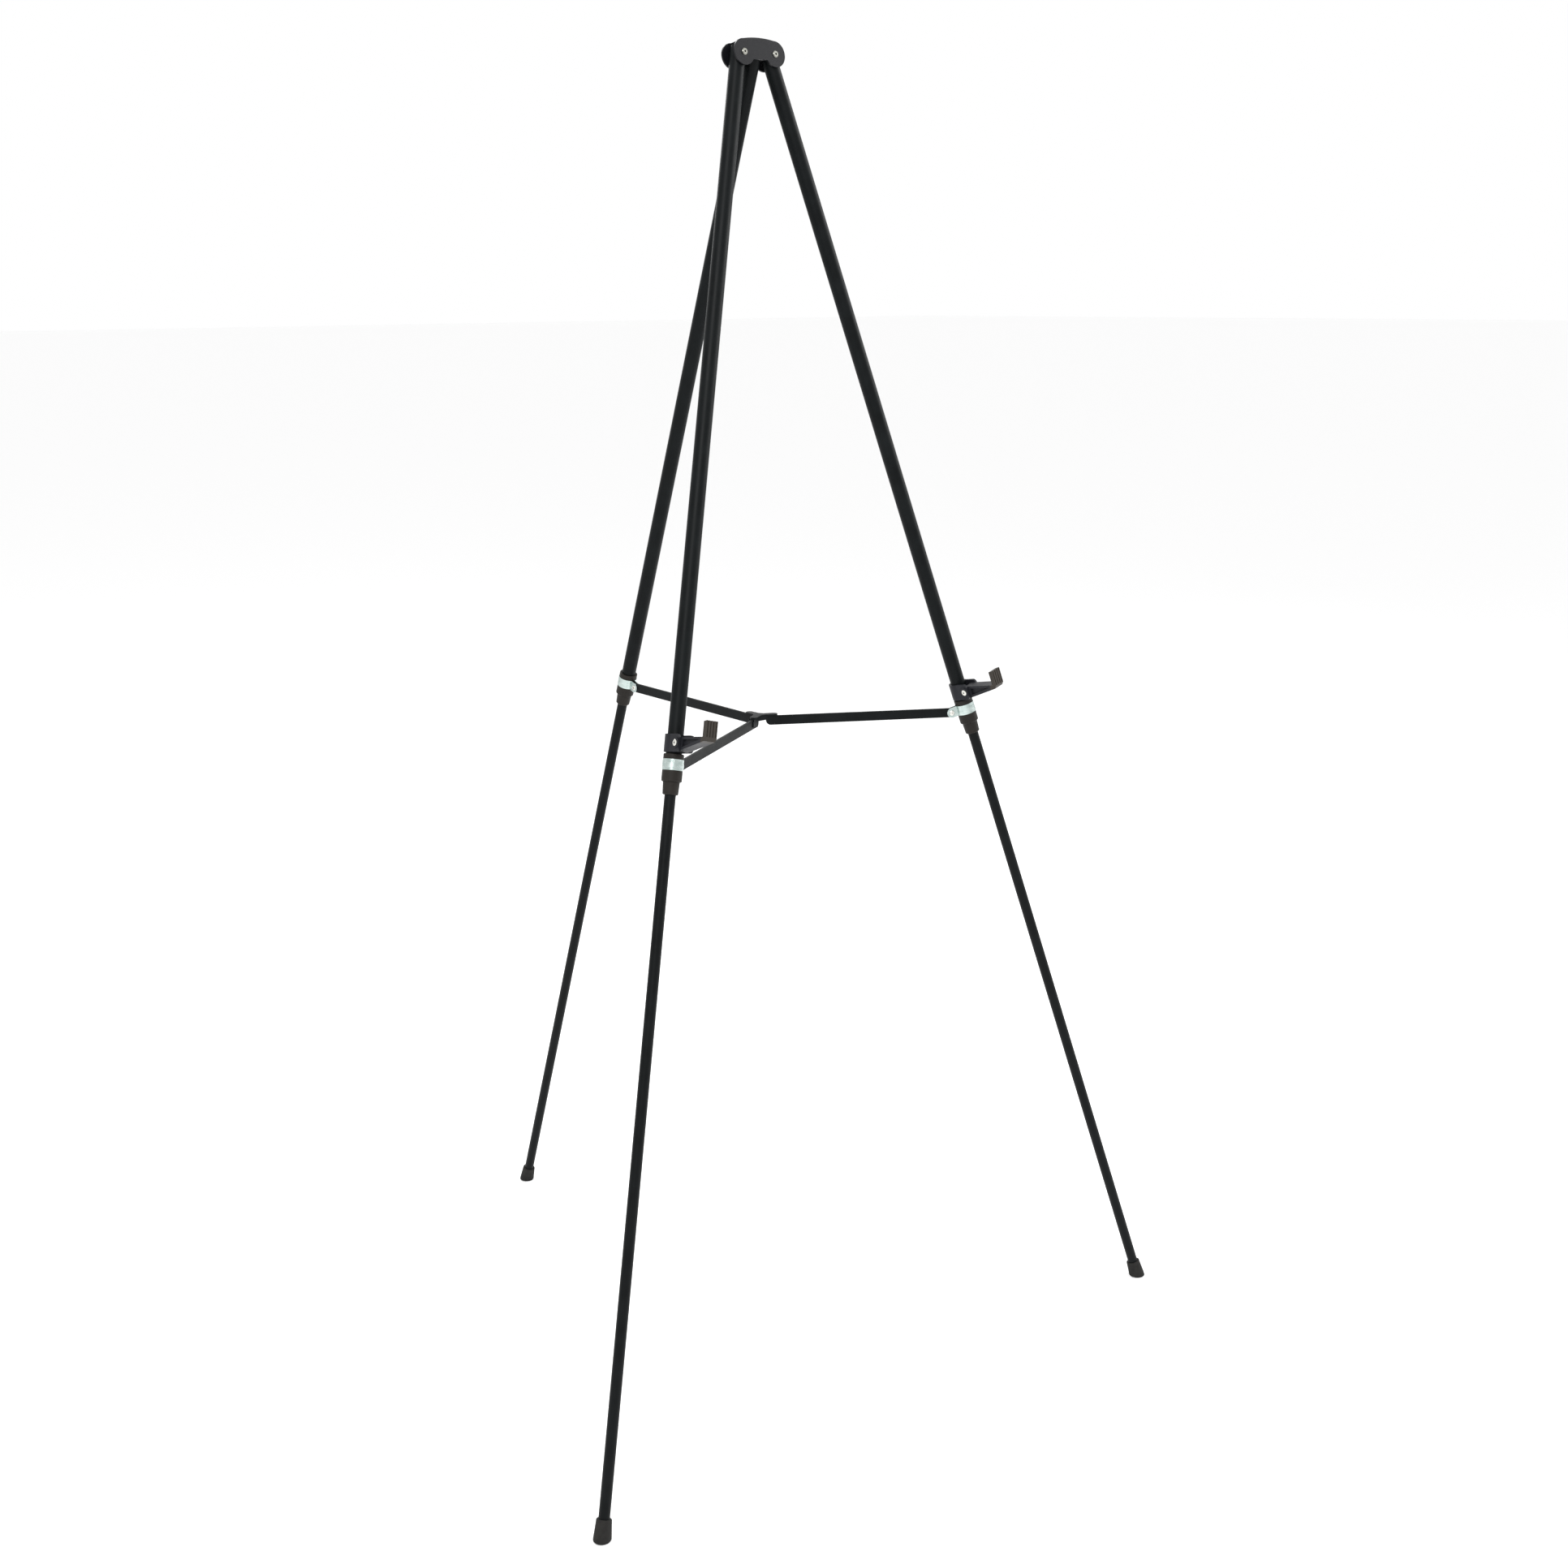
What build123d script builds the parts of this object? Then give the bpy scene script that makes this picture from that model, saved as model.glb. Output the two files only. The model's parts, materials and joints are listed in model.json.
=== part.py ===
from build123d import *
import os
from math import atan2, cos, degrees, radians, sin

# Tripod display easel. Millimetres, +Z up, front is -Y, floor is Z = 0.

# Stance: hinge points in the head and the points where the leg axes meet the floor
HINGE_HEIGHT = 1655.0
FRONT_HINGE_X = 24.0
FRONT_FOOT_X = 476.0
FRONT_FOOT_Y = 271.0
REAR_FOOT_Y = 587.0
Y_SHIFT = (FRONT_FOOT_Y - REAR_FOOT_Y) / 2

# Leg tubes
UPPER_R = 9.525
UPPER_WALL = 1.0
LOWER_R = 6.75
LOWER_WALL = 1.0
BAND_ALONG = 848.0
UPPER_END = BAND_ALONG + 12.0
FRONT_TOP = 8.5
REAR_TOP = 3.0
LOWER_TOP = UPPER_END - 100.0
BUSH_H = 28.0
SLIDE_GAP = 0.08

# Collar, band clamp and lock nut
COLLAR_WAIST_R = 11.2
COLLAR_R = 12.1
BAND_H = 13.0
BAND_R = 11.5
BAND_T = 1.0
LIP_H = 6.0
COLLAR_SKIRT = 13.0
NUT_R = 9.6
NUT_H = 15.0
SPIGOT_R = 7.8
GAP = 0.3

# Brace
EAR_PIVOT = 20.0
ARM_H = 12.0
ARM_T = 3.0
EAR_GAP = 0.35
EAR_T = 1.0
PIN_R = 2.0
PIN_FIT = 0.05
HUB_PIVOT_R = 15.0
PLATE_Z = 6.6
PLATE_T = 2.0
LIP_PLATE_T = 1.1
ARCH_Z = 1.5
CHEEK_R = 5.5

# Head
PLATE_GAP = 10.4
HEAD_WALL = 2.2
LOBE_R = 15.2
ROOF_V = 13.2
HEAD_PIN_R = 2.5
HEAD_RIVET_R = 4.2
ROOF_RISE = 2.0
ARCH_V = -8.0
WEB_X = 9.9
WEB_T = 1.5

# Rest holders
HOLDER_ALONG = BAND_ALONG - 25.0
HOLDER_H = 21.0
HOLDER_R = 12.4
HOLDER_TURN = 5.0
HOLDER_PIVOT = 17.0
HOLDER_HALF = 7.9
CHEEK_IN = 8.2
CHEEK_OUT = 11.2
BOSS_T = 0.8
HOLDER_EYELET_R = 3.8
LEDGE_TOP = 7.0
LIP_OUT = 71.0
LIP_T = 6.0
LIP_RISE = 19.0
LIP_GROOVES = 4
GROOVE_PITCH = 4.0
TIP_DEPTH = 5.0
ROOT_Z = -10.2
KNUCKLE_R = 6.4
POCKET_DEPTH = 3.0

# Feet
FOOT_H = 24.0
FOOT_TOP_R = 9.2
FOOT_R = 10.6
FOOT_SOLE = 6.0

LEGS = ("a", "b", "c")
HINGES = {
    "a": Vector(-FRONT_HINGE_X, Y_SHIFT, HINGE_HEIGHT),
    "b": Vector(FRONT_HINGE_X, Y_SHIFT, HINGE_HEIGHT),
    "c": Vector(0, Y_SHIFT, HINGE_HEIGHT),
}
FLOOR = {
    "a": Vector(-FRONT_FOOT_X, Y_SHIFT - FRONT_FOOT_Y, 0),
    "b": Vector(FRONT_FOOT_X, Y_SHIFT - FRONT_FOOT_Y, 0),
    "c": Vector(0, Y_SHIFT + REAR_FOOT_Y, 0),
}
CENTRE = Vector(0, Y_SHIFT, 0)


def leg_down(leg):
    return (FLOOR[leg] - HINGES[leg]).normalized()


def leg_length(leg):
    return (FLOOR[leg] - HINGES[leg]).length


def across(direction, leg):
    """The part of a direction that is square to the leg, as a unit vector."""
    down = leg_down(leg)
    return (direction - down * direction.dot(down)).normalized()


def leg_plane(leg, along):
    """Plane square to a leg: X points in to the tripod's centre line, Z up the leg."""
    band_point = HINGES[leg] + leg_down(leg) * BAND_ALONG
    inward = Vector(CENTRE.X - band_point.X, CENTRE.Y - band_point.Y, 0)
    origin = HINGES[leg] + leg_down(leg) * along
    return Plane(origin, x_dir=across(inward, leg), z_dir=-leg_down(leg))


def ear_pivot(leg):
    plane = leg_plane(leg, BAND_ALONG)
    return plane.origin + plane.x_dir * EAR_PIVOT


BRACE_Z = sum(ear_pivot(leg).Z for leg in LEGS) / 3


def hub_pivot(leg):
    out = ear_pivot(leg) - CENTRE
    out = Vector(out.X, out.Y, 0).normalized()
    return Vector(CENTRE.X, CENTRE.Y, BRACE_Z) + out * HUB_PIVOT_R


def arm_plane(leg):
    """Plane of one brace arm: X runs from the ear pivot to the hub pivot, Z is the pin axis."""
    along = hub_pivot(leg) - ear_pivot(leg)
    pin = leg_plane(leg, BAND_ALONG).y_dir
    return Plane(ear_pivot(leg), x_dir=along, z_dir=pin)


def holder_plane(leg):
    """Plane of one rest holder: X points to the front, Z up the leg."""
    turn = radians(HOLDER_TURN) * (-1 if leg == "a" else 1)
    front = Vector(sin(turn), -cos(turn), 0)
    origin = HINGES[leg] + leg_down(leg) * HOLDER_ALONG
    return Plane(origin, x_dir=across(front, leg), z_dir=-leg_down(leg))


def head_plane():
    """Plane of the head's plates: X to the right, Y up the plates, Z to the front."""
    in_plane = FLOOR["a"] + FLOOR["b"] - HINGES["a"] - HINGES["b"]
    up = -in_plane.normalized()
    return Plane(Vector(0, Y_SHIFT, HINGE_HEIGHT), x_dir=(1, 0, 0), z_dir=Vector(1, 0, 0).cross(up))


HEAD = head_plane()


def save(part, name):
    part.label = name
    export_step(part, f"parts/{name}.step")


def turned(plane, points):
    """A solid of revolution about a plane's Z, from (radius, height) points."""
    axis_plane = Plane(plane.origin, x_dir=plane.x_dir, z_dir=-plane.y_dir)
    with BuildPart() as piece:
        with BuildSketch(axis_plane):
            with BuildLine():
                Polyline(*points, close=True)
            make_face()
        revolve(axis=Axis(plane.origin, plane.z_dir))
    return piece.part


def eyelet(plane, half_grip, head_r, shank_r, head_t):
    """A hollow rivet along a plane's Z, centred on its origin."""
    hole_r = shank_r * 0.5
    top = half_grip + head_t
    points = [(hole_r, -top), (head_r * 0.8, -top), (head_r, -half_grip - head_t / 2)]
    points += [(head_r, -half_grip), (shank_r, -half_grip), (shank_r, half_grip), (head_r, half_grip)]
    points += [(head_r, half_grip + head_t / 2), (head_r * 0.8, top), (hole_r, top)]
    return turned(plane, points)


os.makedirs("parts", exist_ok=True)

# Head: two lobed plates joined by a roof, with two webs that carry the rear leg's pin
with BuildPart() as head:
    for side in (1, -1):
        with BuildSketch(HEAD.offset(side * PLATE_GAP)):
            with BuildLine():
                roof = ThreePointArc((-FRONT_HINGE_X, LOBE_R), (0, LOBE_R + ROOF_RISE), (FRONT_HINGE_X, LOBE_R))
                Polyline(roof @ 1, (FRONT_HINGE_X, ARCH_V), (-FRONT_HINGE_X, ARCH_V), roof @ 0)
            make_face()
            with Locations((-FRONT_HINGE_X, 0), (FRONT_HINGE_X, 0)):
                Circle(LOBE_R)
        extrude(amount=side * HEAD_WALL)
    with BuildSketch(HEAD.offset(-PLATE_GAP)):
        with BuildLine():
            top = ThreePointArc((-FRONT_HINGE_X, LOBE_R), (0, LOBE_R + ROOF_RISE), (FRONT_HINGE_X, LOBE_R))
            Polyline(top @ 1, (FRONT_HINGE_X, ROOF_V), (-FRONT_HINGE_X, ROOF_V), top @ 0)
        make_face()
    extrude(amount=2 * PLATE_GAP)
    with BuildSketch(HEAD.offset(-PLATE_GAP)):
        with Locations((WEB_X + WEB_T / 2, 4.5), (-WEB_X - WEB_T / 2, 4.5)):
            Rectangle(WEB_T, 21)
    extrude(amount=2 * PLATE_GAP)
    with BuildSketch(HEAD.offset(-PLATE_GAP - HEAD_WALL)):
        with Locations((0, -9)):
            Rectangle(2 * WEB_X, 20)
    extrude(amount=HEAD_WALL, mode=Mode.SUBTRACT)
    with BuildSketch(HEAD.offset(-PLATE_GAP - HEAD_WALL)):
        with Locations((-FRONT_HINGE_X, 0), (FRONT_HINGE_X, 0)):
            Circle(HEAD_PIN_R)
    extrude(amount=2 * (PLATE_GAP + HEAD_WALL), mode=Mode.SUBTRACT)
    with BuildSketch(Plane(HEAD.origin - Vector(20, 0, 0), x_dir=HEAD.y_dir, z_dir=(1, 0, 0))):
        Circle(HEAD_PIN_R)
    extrude(amount=40, mode=Mode.SUBTRACT)
save(head.part, "head_shell")

grip = PLATE_GAP + HEAD_WALL
front_rivets = []
for x in (-FRONT_HINGE_X, FRONT_HINGE_X):
    rivet_plane = Plane(HEAD.origin + Vector(x, 0, 0), x_dir=HEAD.x_dir, z_dir=HEAD.z_dir)
    front_rivets.append(eyelet(rivet_plane, grip, HEAD_RIVET_R, HEAD_PIN_R, 1.4))
save(Compound(children=front_rivets), "head_rivets")

rear_pin_plane = Plane(HEAD.origin, x_dir=HEAD.y_dir, z_dir=(1, 0, 0))
with BuildPart() as rear_pin:
    with BuildSketch(rear_pin_plane):
        Circle(HEAD_PIN_R)
    extrude(amount=WEB_X + WEB_T, both=True)
save(rear_pin.part, "rear_leg_pin")

for leg in LEGS:
    length = leg_length(leg)
    top = REAR_TOP if leg == "c" else FRONT_TOP
    pin_dir = Vector(1, 0, 0) if leg == "c" else HEAD.z_dir

    with BuildPart() as upper:
        with BuildSketch(leg_plane(leg, UPPER_END)):
            Circle(UPPER_R)
            Circle(UPPER_R - UPPER_WALL, mode=Mode.SUBTRACT)
        extrude(amount=UPPER_END + top)
        with BuildSketch(Plane(HINGES[leg], x_dir=leg_down(leg), z_dir=pin_dir)):
            Circle(HEAD_PIN_R + PIN_FIT)
        extrude(amount=2 * UPPER_R, both=True, mode=Mode.SUBTRACT)
    save(upper.part, f"upper_tube_{leg}")

    band = leg_plane(leg, BAND_ALONG)
    half = BAND_H / 2 + GAP
    end = UPPER_END - BAND_ALONG
    bore = UPPER_R + PIN_FIT
    slide_bore = LOWER_R + 0.1
    skirt = half + COLLAR_SKIRT
    collar_points = [
        (bore, half + LIP_H),
        (COLLAR_R - 0.6, half + LIP_H),
        (COLLAR_R, half + LIP_H - 0.6),
        (COLLAR_R, half),
        (COLLAR_WAIST_R, half),
        (COLLAR_WAIST_R, -half),
        (COLLAR_R, -half),
        (COLLAR_R, 1 - skirt),
        (COLLAR_R - 1, -skirt),
        (SPIGOT_R, -skirt),
        (SPIGOT_R, -skirt - NUT_H + 4),
        (slide_bore, -skirt - NUT_H + 4),
        (slide_bore, -end - PIN_FIT),
        (bore, -end - PIN_FIT),
    ]
    save(turned(band, collar_points), f"collar_{leg}")

    nut_top = -skirt - 0.2
    nut_points = [
        (SPIGOT_R + 0.1, nut_top),
        (NUT_R + 0.4, nut_top),
        (NUT_R - 0.3, nut_top - NUT_H + 1),
        (NUT_R - 1.2, nut_top - NUT_H),
        (slide_bore, nut_top - NUT_H),
        (slide_bore, nut_top - NUT_H + 3.4),
        (SPIGOT_R + 0.1, nut_top - NUT_H + 3.4),
    ]
    save(turned(band, nut_points), f"lock_nut_{leg}")

    with BuildPart() as lower:
        with BuildSketch(leg_plane(leg, length - FOOT_SOLE)):
            Circle(LOWER_R)
            Circle(LOWER_R - LOWER_WALL, mode=Mode.SUBTRACT)
        extrude(amount=length - FOOT_SOLE - LOWER_TOP)
    save(lower.part, f"lower_tube_{leg}")

    with BuildPart() as bush:
        with BuildSketch(leg_plane(leg, LOWER_TOP + BUSH_H + 2)):
            Circle(UPPER_R - UPPER_WALL - SLIDE_GAP)
            Circle(LOWER_R, mode=Mode.SUBTRACT)
        extrude(amount=BUSH_H)
    save(bush.part, f"guide_bush_{leg}")

    foot_points = [
        (0, -6),
        (FOOT_R, -6),
        (FOOT_R, 3),
        (FOOT_TOP_R, FOOT_H - 1),
        (FOOT_TOP_R - 1, FOOT_H),
        (LOWER_R, FOOT_H),
        (LOWER_R, FOOT_SOLE),
        (0, FOOT_SOLE),
    ]
    with BuildPart() as foot:
        add(turned(leg_plane(leg, length), foot_points))
        split(bisect_by=Plane.XY, keep=Keep.TOP)
        fillet(foot.faces().sort_by(Axis.Z)[0].edges(), radius=1.2)
    save(foot.part, f"foot_{leg}")

    # Band clamp: a strap round the collar with two ears that straddle the brace arm
    ear_in = ARM_T / 2 + EAR_GAP
    pin_plane = Plane(ear_pivot(leg), x_dir=band.x_dir, z_dir=band.y_dir)
    with BuildPart() as clamp:
        with BuildSketch(band.offset(-BAND_H / 2)):
            Circle(BAND_R + BAND_T)
            with Locations((BAND_R / 2 + 3, 0)):
                Rectangle(BAND_R + 6, 2 * (ear_in + EAR_T))
            Circle(BAND_R, mode=Mode.SUBTRACT)
            with Locations((BAND_R + 5, 0)):
                Rectangle(12, 2 * ear_in, mode=Mode.SUBTRACT)
        extrude(amount=BAND_H)
        for side in (1, -1):
            with BuildSketch(pin_plane.offset(side * ear_in)):
                Circle(BAND_H / 2)
                with Locations((-4, 0)):
                    Rectangle(8, BAND_H)
            extrude(amount=side * EAR_T)
        with BuildSketch(pin_plane):
            Circle(PIN_R)
        extrude(amount=10, both=True, mode=Mode.SUBTRACT)
    save(clamp.part, f"band_clamp_{leg}")
    save(eyelet(pin_plane, ear_in + EAR_T, 3.4, PIN_R, 0.9), f"band_rivet_{leg}")

    # Brace arm: a flat bar with rounded ends
    bar = arm_plane(leg)
    reach = (hub_pivot(leg) - ear_pivot(leg)).length
    end_r = PIN_R + PIN_FIT if leg == "c" else PIN_R
    with BuildPart() as arm:
        with BuildSketch(bar.offset(-ARM_T / 2)):
            with Locations((reach / 2, 0)):
                SlotCenterToCenter(reach, ARM_H)
            Circle(PIN_R + PIN_FIT, mode=Mode.SUBTRACT)
            with Locations((reach, 0)):
                Circle(end_r, mode=Mode.SUBTRACT)
        extrude(amount=ARM_T)
    save(arm.part, f"brace_arm_{leg}")

# Brace centre bracket: a rounded three-lobe plate, cheeks for the rear arm, a lip for each front arm
hub_centre = Vector(CENTRE.X, CENTRE.Y, BRACE_Z)
level = Plane(hub_centre, x_dir=(1, 0, 0), z_dir=(0, 0, 1))
with BuildPart() as bracket:
    with BuildSketch(level.offset(PLATE_Z)):
        for leg in LEGS:
            spot = hub_pivot(leg) - hub_centre
            turn = degrees(atan2(spot.Y, spot.X))
            with Locations(Location((spot.X * 0.6, spot.Y * 0.6, 0), (0, 0, turn))):
                SlotOverall(30, 10)
        with BuildLine():
            Polyline(*[hub_pivot(leg) - hub_centre for leg in LEGS], close=True)
        make_face()
    extrude(amount=PLATE_T)
    for side in (1, -1):
        cheek_plane = Plane(hub_pivot("c"), x_dir=(0, 1, 0), z_dir=(1, 0, 0))
        with BuildSketch(cheek_plane.offset(side * (ARM_T / 2 + 0.25))):
            Circle(CHEEK_R)
            with Locations((0, PLATE_Z / 2)):
                Rectangle(2 * CHEEK_R, PLATE_Z)
            Circle(PIN_R, mode=Mode.SUBTRACT)
        extrude(amount=side * 1.0)
    for leg, side in (("a", -1), ("b", 1)):
        lip = arm_plane(leg)
        front = side if lip.z_dir.Y * side < 0 else -side
        lip_plane = Plane(hub_pivot(leg), x_dir=lip.x_dir, z_dir=lip.z_dir)
        rise = 1 if lip.y_dir.Z > 0 else -1
        with BuildSketch(lip_plane.offset(front * (ARM_T / 2 + 0.3))):
            Circle(CHEEK_R)
            with Locations((-2.5, rise * PLATE_Z / 2), (-4, 0)):
                Rectangle(16, PLATE_Z)
        extrude(amount=front * LIP_PLATE_T)
    with BuildSketch(level.offset(ARCH_Z)):
        with Locations((0, -6.9)):
            Rectangle(15, LIP_PLATE_T)
    extrude(amount=PLATE_Z - ARCH_Z)
save(bracket.part, "brace_bracket")
bracket_pin_plane = Plane(hub_pivot("c"), x_dir=(0, 1, 0), z_dir=(1, 0, 0))
save(eyelet(bracket_pin_plane, ARM_T / 2 + 1.25, 3.0, PIN_R, 0.7), "bracket_rivet")
for leg in ("a", "b"):
    with BuildPart() as stud:
        with BuildSketch(Plane(hub_pivot(leg), x_dir=(0, 0, 1), z_dir=arm_plane(leg).z_dir)):
            Circle(PIN_R)
        extrude(amount=ARM_T / 2, both=True)
    save(stud.part, f"arm_end_stud_{leg}")

for leg in ("a", "b"):
    seat = holder_plane(leg)
    side_plane = Plane(seat.origin + seat.x_dir * HOLDER_PIVOT, x_dir=seat.x_dir, z_dir=-seat.y_dir)
    with BuildPart() as ring:
        with BuildSketch(seat.offset(-HOLDER_H / 2)):
            Circle(HOLDER_R)
        extrude(amount=HOLDER_H)
        for side in (1, -1):
            with BuildSketch(side_plane.offset(side * CHEEK_IN)):
                with Locations((-6, 0)):
                    RectangleRounded(24, HOLDER_H, 5)
            extrude(amount=side * (CHEEK_OUT - CHEEK_IN))
            with BuildSketch(side_plane.offset(side * CHEEK_OUT)):
                Circle(KNUCKLE_R)
            extrude(amount=side * BOSS_T)
        with BuildSketch(seat.offset(-HOLDER_H / 2)):
            Circle(UPPER_R + PIN_FIT)
            with Locations((HOLDER_R + 1, 0)):
                Rectangle(14, 2 * CHEEK_IN)
        extrude(amount=HOLDER_H, mode=Mode.SUBTRACT)
        with BuildSketch(side_plane):
            Circle(PIN_R)
        extrude(amount=20, both=True, mode=Mode.SUBTRACT)
    save(ring.part, f"holder_ring_{leg}")

    reach = LIP_OUT - HOLDER_PIVOT
    with BuildPart() as holder:
        with BuildSketch(side_plane.offset(-HOLDER_HALF)):
            Circle(KNUCKLE_R)
            with BuildLine():
                Polyline(
                    (0, LEDGE_TOP),
                    (reach - LIP_T, LEDGE_TOP),
                    (reach - LIP_T, LEDGE_TOP + LIP_RISE - 1),
                    (reach, LEDGE_TOP + LIP_RISE),
                    (reach, LEDGE_TOP - 1),
                    (reach - 3, LEDGE_TOP - TIP_DEPTH),
                    (0, ROOT_Z),
                    close=True,
                )
            make_face()
        extrude(amount=2 * HOLDER_HALF)
        for side in (1, -1):
            with BuildSketch(side_plane.offset(side * HOLDER_HALF)):
                with BuildLine():
                    Polyline((9, LEDGE_TOP - 3), (reach - 12, LEDGE_TOP - 3), (9, -5), close=True)
                make_face()
            extrude(amount=-side * POCKET_DEPTH, mode=Mode.SUBTRACT)
        lip_top = Plane(side_plane.origin + seat.x_dir * reach, x_dir=seat.y_dir, z_dir=seat.z_dir)
        with BuildSketch(lip_top.offset(LEDGE_TOP)):
            with GridLocations(GROOVE_PITCH, 1, LIP_GROOVES, 1):
                Rectangle(1.3, 1.8)
        extrude(amount=LIP_RISE + 2, mode=Mode.SUBTRACT)
        with BuildSketch(side_plane):
            Circle(PIN_R + PIN_FIT)
        extrude(amount=20, both=True, mode=Mode.SUBTRACT)
    save(holder.part, f"holder_arm_{leg}")
    save(eyelet(side_plane, CHEEK_OUT + BOSS_T, HOLDER_EYELET_R, PIN_R, 1.0), f"holder_rivet_{leg}")
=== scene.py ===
import json
from math import cos, pi, radians, sin

import bmesh
import bpy
from mathutils import Matrix, Quaternion, Vector


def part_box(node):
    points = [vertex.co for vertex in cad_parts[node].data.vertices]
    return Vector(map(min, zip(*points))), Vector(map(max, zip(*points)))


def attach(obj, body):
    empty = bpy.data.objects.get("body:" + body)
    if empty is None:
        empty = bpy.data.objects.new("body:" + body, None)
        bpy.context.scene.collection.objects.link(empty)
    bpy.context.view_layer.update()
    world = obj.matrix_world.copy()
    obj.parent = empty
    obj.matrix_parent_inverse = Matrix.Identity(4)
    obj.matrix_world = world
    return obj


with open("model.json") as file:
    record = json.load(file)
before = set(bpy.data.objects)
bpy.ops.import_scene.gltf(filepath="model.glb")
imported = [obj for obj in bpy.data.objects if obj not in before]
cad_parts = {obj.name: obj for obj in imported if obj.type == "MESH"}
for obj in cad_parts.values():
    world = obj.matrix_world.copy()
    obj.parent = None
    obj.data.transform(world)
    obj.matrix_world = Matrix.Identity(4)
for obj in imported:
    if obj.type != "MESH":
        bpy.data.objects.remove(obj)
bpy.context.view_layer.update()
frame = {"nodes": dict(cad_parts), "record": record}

NODES = frame["nodes"]
JOINTS = {joint["name"]: joint for joint in frame["record"]["behaviour"]["joints"]}
MM = 0.001
LEGS = ("a", "b", "c")
BAND_ABOVE_NUT = 25 * MM

# The front end of each rest holder, where the browner lip begins
LIP_DEPTH = 9.5 * MM
LIP_BLEND = 1 * MM

# Beads: raised lines that run up the leg on a strap or a collar. Heights are from the strap's middle.
CREASE = {"radius": 12.35 * MM, "low": -6.2 * MM, "high": 6.2 * MM, "width": 1.5 * MM, "proud": 0.3 * MM}
CREASE_TURNS = (115, 152, 208, 245)
SEAM = {"radius": 12.0 * MM, "low": -18.6 * MM, "high": -7.4 * MM, "width": 0.6 * MM, "proud": 0.22 * MM}
SEAM_TURNS = (90, 270)
BEAD_RINGS = 9
BEAD_SIDES = 12
BEAD_TAPER = 6
BEAD_TIP = 0.04

# Stage and camera
FLOOR_SIZE = 80
FLOOR_DROP = 0.5 * MM
CAMERA_PLACE = Vector((-1.6343, -2.0827, 1.3817))
CAMERA_HEADING = radians(48.95)
CAMERA_PITCH = radians(-13.85)
CAMERA_ROLL = radians(-0.34)
SENSOR_WIDTH = 36
LENS = 45.8944


# ---------------------------------------------------------------- materials
def shader(name, colour, roughness, metallic=0.0, specular=0.5):
    material = bpy.data.materials.new(name)
    material.use_nodes = True
    principled = material.node_tree.nodes["Principled BSDF"]
    principled.inputs["Base Color"].default_value = (*colour, 1)
    principled.inputs["Roughness"].default_value = roughness
    principled.inputs["Metallic"].default_value = metallic
    principled.inputs["Specular IOR Level"].default_value = specular
    return material, principled


def scaled(tone, factor):
    return tuple(channel * factor for channel in tone)


def noise(material, scale, detail, stretch=(1, 1, 1)):
    """A noise texture over the object's own space, stretched where the finish has a grain."""
    nodes, links = material.node_tree.nodes, material.node_tree.links
    place = nodes.new("ShaderNodeTexCoord")
    mapping = nodes.new("ShaderNodeMapping")
    mapping.inputs["Scale"].default_value = stretch
    texture = nodes.new("ShaderNodeTexNoise")
    texture.inputs["Scale"].default_value = scale
    texture.inputs["Detail"].default_value = detail
    texture.inputs["Roughness"].default_value = 0.6
    links.new(place.outputs["Object"], mapping.inputs["Vector"])
    links.new(mapping.outputs["Vector"], texture.inputs["Vector"])
    return texture.outputs["Fac"]


def vary_colour(material, principled, source, low, high, dark, light):
    """Colour that runs from dark to light as the source goes from low to high."""
    nodes, links = material.node_tree.nodes, material.node_tree.links
    ramp = nodes.new("ShaderNodeValToRGB")
    start, end = ramp.color_ramp.elements
    start.position = low
    start.color = (*dark, 1)
    end.position = high
    end.color = (*light, 1)
    links.new(source, ramp.inputs["Fac"])
    links.new(ramp.outputs["Color"], principled.inputs["Base Color"])


def vary_roughness(material, principled, source, low, high):
    """Roughness that runs from low to high over the middle of the source's range."""
    nodes, links = material.node_tree.nodes, material.node_tree.links
    spread = nodes.new("ShaderNodeMapRange")
    spread.inputs["From Min"].default_value = 0.3
    spread.inputs["From Max"].default_value = 0.7
    spread.inputs["To Min"].default_value = low
    spread.inputs["To Max"].default_value = high
    links.new(source, spread.inputs["Value"])
    links.new(spread.outputs["Result"], principled.inputs["Roughness"])


def add_bump(material, principled, source, strength, depth):
    nodes, links = material.node_tree.nodes, material.node_tree.links
    bump = nodes.new("ShaderNodeBump")
    bump.inputs["Strength"].default_value = strength
    bump.inputs["Distance"].default_value = depth
    links.new(source, bump.inputs["Height"])
    links.new(bump.outputs["Normal"], principled.inputs["Normal"])


def painted_tube(name, tone):
    """Black enamel on drawn tube: faint orange peel, dust and a low sheen."""
    material, principled = shader(name, tone, roughness=0.42, specular=0.09)
    dust = noise(material, scale=38, detail=6)
    vary_colour(material, principled, dust, 0.35, 0.75, dark=scaled(tone, 0.8), light=scaled(tone, 1.5))
    vary_roughness(material, principled, dust, low=0.36, high=0.5)
    peel = noise(material, scale=900, detail=2)
    add_bump(material, principled, peel, strength=0.18, depth=0.08 * MM)
    return material


def moulded_plastic(name, tone, roughness):
    """Injection-moulded plastic: spark-eroded grain, and flow marks that shift the tone."""
    material, principled = shader(name, tone, roughness, specular=0.14)
    flow = noise(material, scale=60, detail=5, stretch=(1, 1, 0.4))
    vary_colour(material, principled, flow, 0.3, 0.72, dark=scaled(tone, 0.82), light=scaled(tone, 1.3))
    vary_roughness(material, principled, flow, low=roughness - 0.07, high=roughness + 0.09)
    grain = noise(material, scale=2600, detail=3)
    add_bump(material, principled, grain, strength=0.32, depth=0.09 * MM)
    return material


def colour_socket(sockets, name):
    return next(socket for socket in sockets if socket.type == "RGBA" and socket.name == name)


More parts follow.
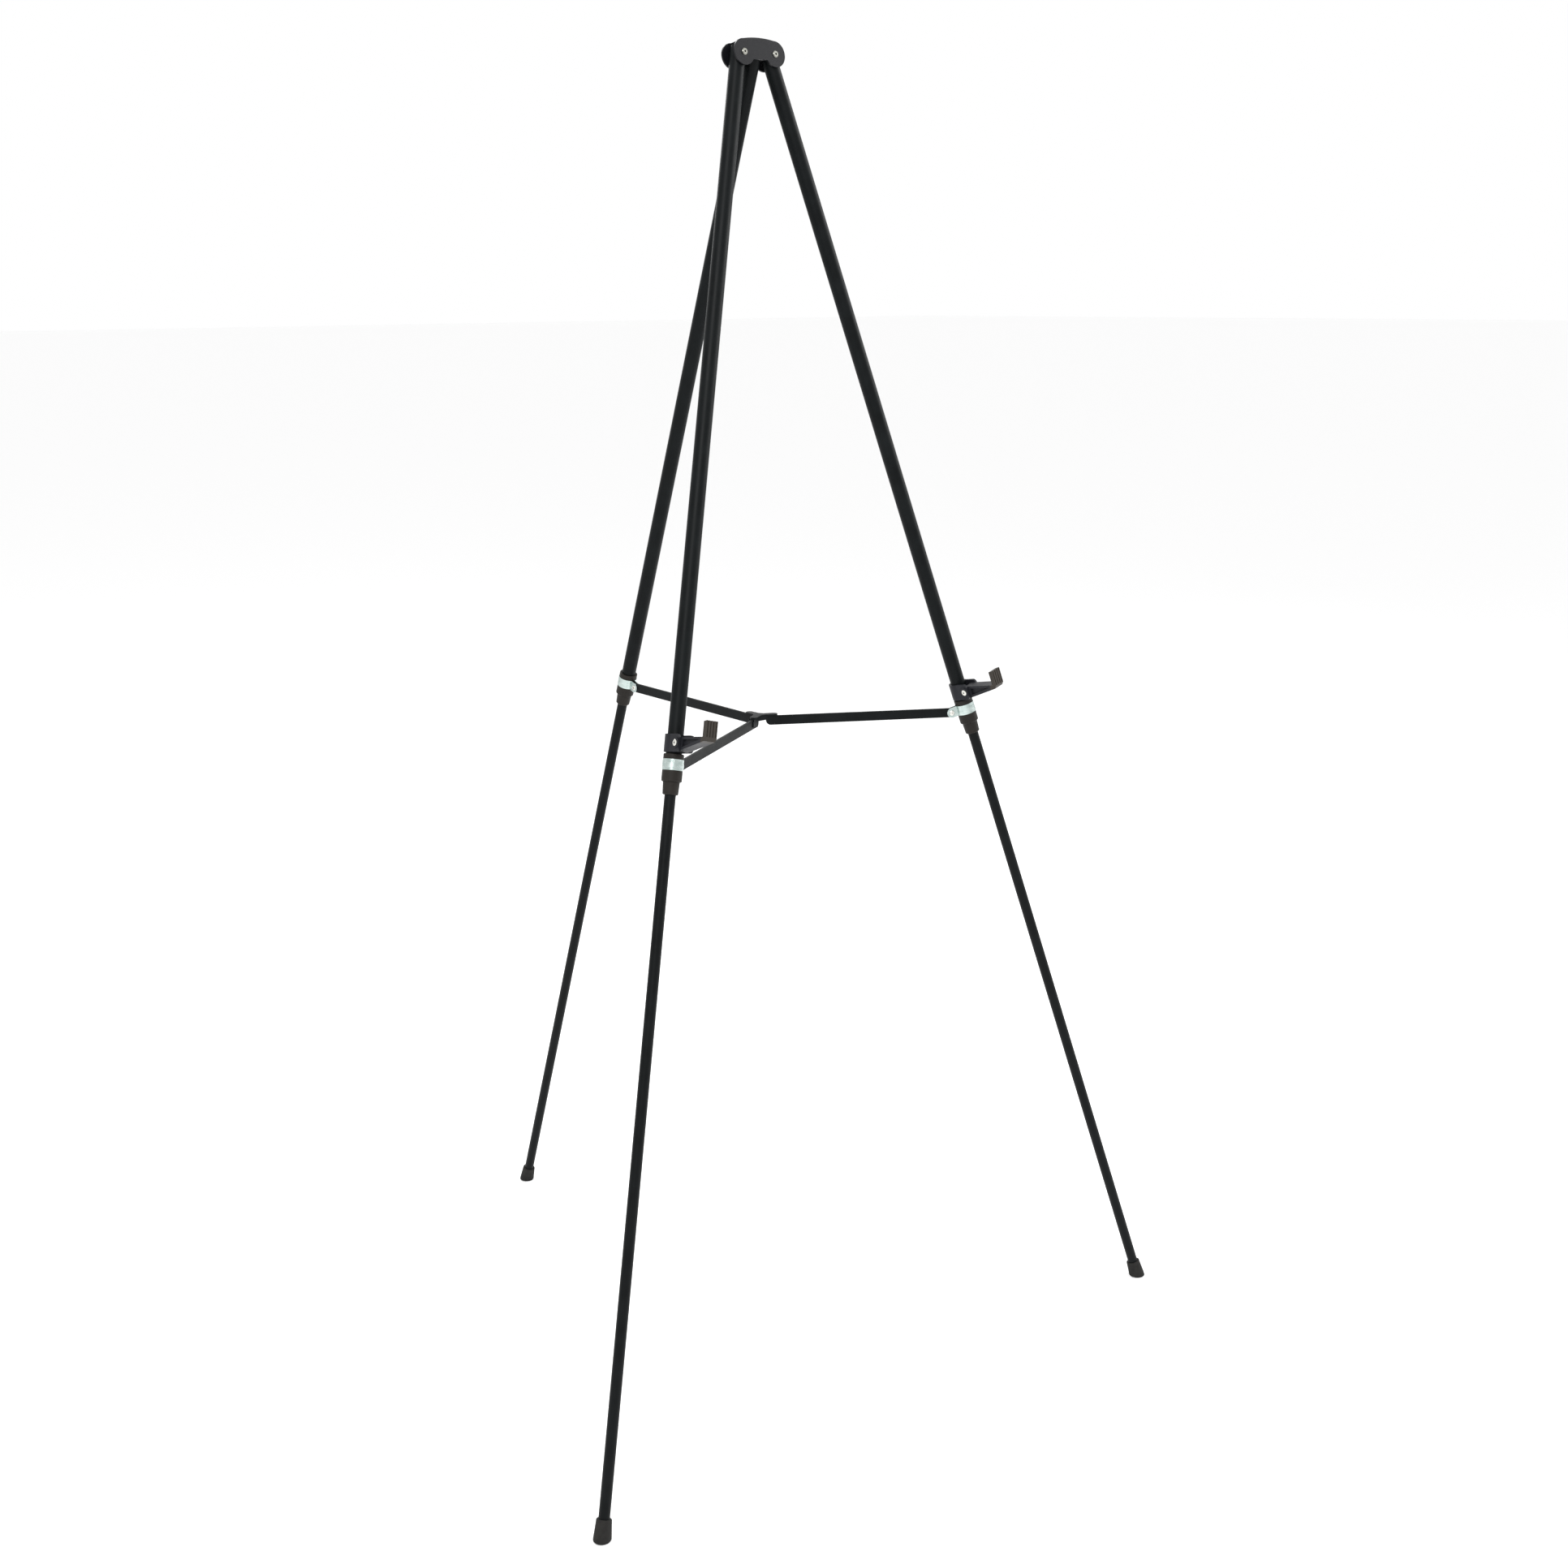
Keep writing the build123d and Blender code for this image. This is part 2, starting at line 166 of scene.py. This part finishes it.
def gripped_holder(name, body_tone, lip_tone, lip_edge):
    """The holder arm's plastic, with the browner rubbery lip at its front end."""
    material = moulded_plastic(name, body_tone, roughness=0.42)
    nodes, links = material.node_tree.nodes, material.node_tree.links
    principled = nodes["Principled BSDF"]
    body_colour = principled.inputs["Base Color"].links[0].from_socket
    place = nodes.new("ShaderNodeTexCoord")
    split = nodes.new("ShaderNodeSeparateXYZ")
    links.new(place.outputs["Object"], split.inputs["Vector"])
    mask = nodes.new("ShaderNodeMapRange")
    mask.inputs["From Min"].default_value = lip_edge + LIP_BLEND
    mask.inputs["From Max"].default_value = lip_edge
    links.new(split.outputs["Y"], mask.inputs["Value"])
    mix = nodes.new("ShaderNodeMix")
    mix.data_type = "RGBA"
    colour_socket(mix.inputs, "B").default_value = (*lip_tone, 1)
    links.new(body_colour, colour_socket(mix.inputs, "A"))
    links.new(mask.outputs["Result"], mix.inputs["Factor"])
    links.new(colour_socket(mix.outputs, "Result"), principled.inputs["Base Color"])
    return material


def zinc_strap():
    """Bright zinc plate: bluish-green passivate, rolled grain and softly varied gloss."""
    material, principled = shader("zinc_plate", (0.52, 0.60, 0.58), roughness=0.24, metallic=1.0)
    grain = noise(material, scale=90, detail=5, stretch=(1, 1, 3))
    dark, light = (0.40, 0.48, 0.46), (0.56, 0.63, 0.61)
    vary_colour(material, principled, grain, 0.32, 0.7, dark, light)
    vary_roughness(material, principled, grain, low=0.18, high=0.34)
    rolling = noise(material, scale=1400, detail=4, stretch=(1, 1, 5))
    add_bump(material, principled, rolling, strength=0.12, depth=0.05 * MM)
    return material


def nickel(name, tone):
    """Pressed nickel or steel: fine grain and dull spots."""
    material, principled = shader(name, tone, roughness=0.22, metallic=1.0)
    spots = noise(material, scale=420, detail=5)
    vary_colour(material, principled, spots, 0.3, 0.65, dark=scaled(tone, 0.7), light=tone)
    vary_roughness(material, principled, spots, low=0.16, high=0.36)
    grain = noise(material, scale=2200, detail=2)
    add_bump(material, principled, grain, strength=0.1, depth=0.04 * MM)
    return material


def rubber():
    """Moulded rubber: dull, slightly bloomed and pitted."""
    material, principled = shader("foot_rubber", (0.014, 0.0135, 0.013), roughness=0.72, specular=0.14)
    bloom = noise(material, scale=85, detail=7)
    dark, light = (0.009, 0.0088, 0.0085), (0.024, 0.023, 0.0215)
    vary_colour(material, principled, bloom, 0.32, 0.74, dark, light)
    vary_roughness(material, principled, bloom, low=0.62, high=0.82)
    pits = noise(material, scale=1500, detail=4)
    add_bump(material, principled, pits, strength=0.4, depth=0.12 * MM)
    return material


HOLDER_TONE = (0.0125, 0.0130, 0.0160)
LIP_TONE = (0.034, 0.029, 0.024)
LIP_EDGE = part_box("holder_arm_a")[0][1] + LIP_DEPTH

UPPER_PAINT = painted_tube("upper_tube_paint", (0.0038, 0.0048, 0.0052))
LOWER_PAINT = painted_tube("lower_tube_paint", (0.0038, 0.0046, 0.0050))
ARM_PAINT = painted_tube("brace_paint", (0.0040, 0.0050, 0.0054))
HEAD_PLASTIC = moulded_plastic("head_plastic", (0.0060, 0.0062, 0.0078), roughness=0.34)
COLLAR_PLASTIC = moulded_plastic("collar_plastic", (0.0140, 0.0122, 0.0105), roughness=0.5)
HOLDER_PLASTIC = moulded_plastic("holder_plastic", HOLDER_TONE, roughness=0.42)
GRIP_PLASTIC = gripped_holder("holder_grip_plastic", HOLDER_TONE, LIP_TONE, LIP_EDGE)
BUSH_PLASTIC = moulded_plastic("bush_plastic", (0.05, 0.05, 0.05), roughness=0.45)
ZINC = zinc_strap()
EYELET = nickel("eyelet_nickel", (0.78, 0.77, 0.72))
HEAD_RIVET = nickel("head_rivet_nickel", (0.20, 0.20, 0.18))
PIN_STEEL = nickel("pin_steel", (0.45, 0.45, 0.44))
RUBBER = rubber()

# A node's finish, by its whole name or by its name without the leg's letter
FINISH = {
    "head_shell": HEAD_PLASTIC,
    "head_rivets": HEAD_RIVET,
    "rear_leg_pin": PIN_STEEL,
    "brace_bracket": ARM_PAINT,
    "bracket_rivet": ARM_PAINT,
    "upper_tube": UPPER_PAINT,
    "lower_tube": LOWER_PAINT,
    "guide_bush": BUSH_PLASTIC,
    "collar": COLLAR_PLASTIC,
    "lock_nut": COLLAR_PLASTIC,
    "foot": RUBBER,
    "band_clamp": ZINC,
    "band_rivet": EYELET,
    "brace_arm": ARM_PAINT,
    "arm_end_stud": ARM_PAINT,
    "holder_ring": HOLDER_PLASTIC,
    "holder_arm": GRIP_PLASTIC,
    "holder_rivet": EYELET,
}


def finish_of(node):
    return FINISH[node] if node in FINISH else FINISH[node.rsplit("_", 1)[0]]


for node, cad in NODES.items():
    cad.data.materials.clear()
    cad.data.materials.append(finish_of(node))


# -------------------------------------------------- creases and mould lines
def band_frame(leg):
    """Local frame at the middle of a leg's strap: X towards its ear, Z up the leg."""
    up = Vector(JOINTS[f"leg_slide_{leg}"]["axis"]).normalized()
    centre = Vector(JOINTS[f"lock_nut_twist_{leg}"]["pos_m"]) + up * BAND_ABOVE_NUT
    x = (Vector(JOINTS[f"brace_arm_swing_{leg}"]["pos_m"]) - centre).normalized()
    x = (x - up * x.dot(up)).normalized()
    y = up.cross(x)
    turn = Matrix((x, y, up)).transposed().to_4x4()
    return Matrix.Translation(centre) @ turn


def from_rings(name, rings, matrix, finish, body):
    """A closed skin through rings of points; the first and last rings are capped."""
    mesh = bmesh.new()
    layers = [[mesh.verts.new(matrix @ Vector(point)) for point in ring] for ring in rings]
    count = len(layers[0])
    for low, high in zip(layers, layers[1:]):
        for i in range(count):
            j = (i + 1) % count
            mesh.faces.new((low[i], low[j], high[j], high[i]))
    mesh.faces.new(list(reversed(layers[0])))
    mesh.faces.new(layers[-1])
    bmesh.ops.recalc_face_normals(mesh, faces=mesh.faces)
    for face in mesh.faces:
        face.smooth = True
    data = bpy.data.meshes.new(name)
    mesh.to_mesh(data)
    mesh.free()
    data.materials.append(finish)
    piece = bpy.data.objects.new(name, data)
    bpy.context.scene.collection.objects.link(piece)
    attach(piece, body)
    return piece


def bead_rings(turn, radius, low, high, width, proud):
    """Rings of a rounded bead that runs up a round part, with tapered ends."""
    rings = []
    for step in range(BEAD_RINGS):
        share = step / (BEAD_RINGS - 1)
        from_end = min(share, 1 - share) * BEAD_TAPER
        swell = sin(pi * min(1, max(BEAD_TIP, from_end)) / 2)
        z = low + (high - low) * share
        ring = []
        for i in range(BEAD_SIDES):
            angle = 2 * pi * i / BEAD_SIDES
            r = radius + proud * swell * cos(angle)
            side = width / 2 * swell * sin(angle) / radius
            ring.append((r * cos(turn + side), r * sin(turn + side), z))
        rings.append(ring)
    return rings


for leg in LEGS:
    centre = band_frame(leg)
    band_body = "leg_c" if leg == "c" else f"band_{leg}"
    for number, turn in enumerate(CREASE_TURNS, start=1):
        crease = bead_rings(radians(turn), **CREASE)
        from_rings(f"strap_crease_{leg}_{number}", crease, centre, ZINC, band_body)
    for number, turn in enumerate(SEAM_TURNS, start=1):
        seam = bead_rings(radians(turn), **SEAM)
        name = f"collar_seam_{leg}_{number}"
        from_rings(name, seam, centre, COLLAR_PLASTIC, f"leg_{leg}")


# --------------------------------------------------------- stage and camera
def build_floor():
    mesh = bmesh.new()
    bmesh.ops.create_grid(mesh, x_segments=2, y_segments=2, size=FLOOR_SIZE)
    data = bpy.data.meshes.new("floor")
    mesh.to_mesh(data)
    mesh.free()
    floor = bpy.data.objects.new("floor", data)
    floor.location.z = -FLOOR_DROP
    white, _ = shader("floor_white", (0.97, 0.97, 0.97), roughness=0.9, specular=0.1)
    data.materials.append(white)
    bpy.context.scene.collection.objects.link(floor)


def area_light(name, place, target, size, power):
    light = bpy.data.lights.new(name, "AREA")
    light.shape = "DISK"
    light.size = size
    light.energy = power
    lamp = bpy.data.objects.new(name, light)
    lamp.location = place
    lamp.rotation_euler = (Vector(target) - Vector(place)).to_track_quat("-Z", "Y").to_euler()
    bpy.context.scene.collection.objects.link(lamp)


def white_world():
    world = bpy.data.worlds.new("studio")
    world.use_nodes = True
    background = world.node_tree.nodes["Background"]
    background.inputs["Color"].default_value = (1, 1, 1, 1)
    background.inputs["Strength"].default_value = 1.0
    bpy.context.scene.world = world


def place_camera():
    camera_data = bpy.data.cameras.new("photo_camera")
    camera_data.sensor_width = SENSOR_WIDTH
    camera_data.lens = LENS
    camera = bpy.data.objects.new("photo_camera", camera_data)
    level_aim = Vector((cos(CAMERA_HEADING), sin(CAMERA_HEADING), 0)) * cos(CAMERA_PITCH)
    aim = level_aim + Vector((0, 0, sin(CAMERA_PITCH)))
    camera.location = CAMERA_PLACE
    camera.rotation_mode = "QUATERNION"
    camera.rotation_quaternion = aim.to_track_quat("-Z", "Y") @ Quaternion((0, 0, 1), CAMERA_ROLL)
    bpy.context.scene.collection.objects.link(camera)
    bpy.context.scene.camera = camera


build_floor()
area_light("key", place=(-2.6, -2.2, 3.4), target=(0, 0, 0.9), size=2.2, power=90)
area_light("fill", place=(2.8, -1.4, 2.4), target=(0, 0, 0.8), size=2.6, power=70)
area_light("rim", place=(0.6, 2.9, 2.8), target=(0, 0, 1.0), size=1.8, power=50)
white_world()
bpy.context.scene.view_settings.view_transform = "Standard"
place_camera()
